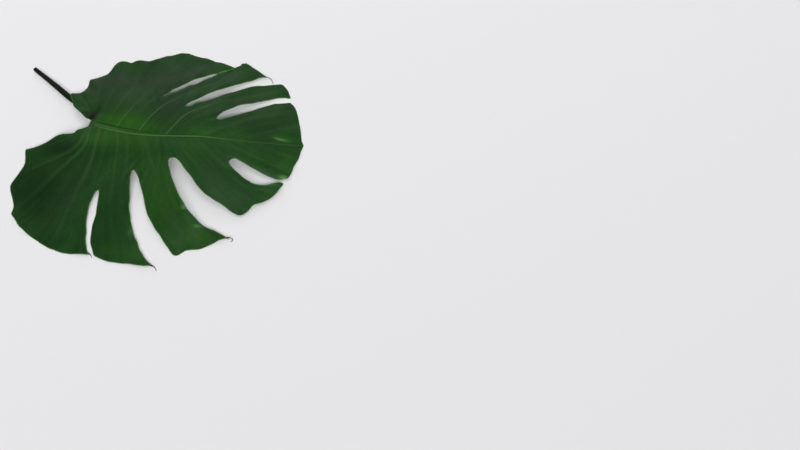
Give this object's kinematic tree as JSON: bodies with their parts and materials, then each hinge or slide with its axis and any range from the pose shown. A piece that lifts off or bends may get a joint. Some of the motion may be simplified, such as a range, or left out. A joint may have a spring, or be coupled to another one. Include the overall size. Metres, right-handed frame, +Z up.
{
  "type": "monstera leaf",
  "caption": "Cut monstera leaf lying face up: broad arched heart-shaped blade with deep slots between its lobes, a sunken midrib and a short cut stalk.",
  "frame": {"origin": "middle of the leaf's footprint on the surface that it lies on", "axes": "+X from the joint of stalk and blade towards the leaf tip, +Y to the left of that, +Z up out of the upper side"},
  "size_m": [0.4488, 0.3882, 0.0361],
  "materials": {
    "leaf_green": "dark green leaf, satin waxy upper side"
  },
  "bodies": {
    "root": {"monstera_leaf": "leaf_green"}
  },
  "joints": []
}
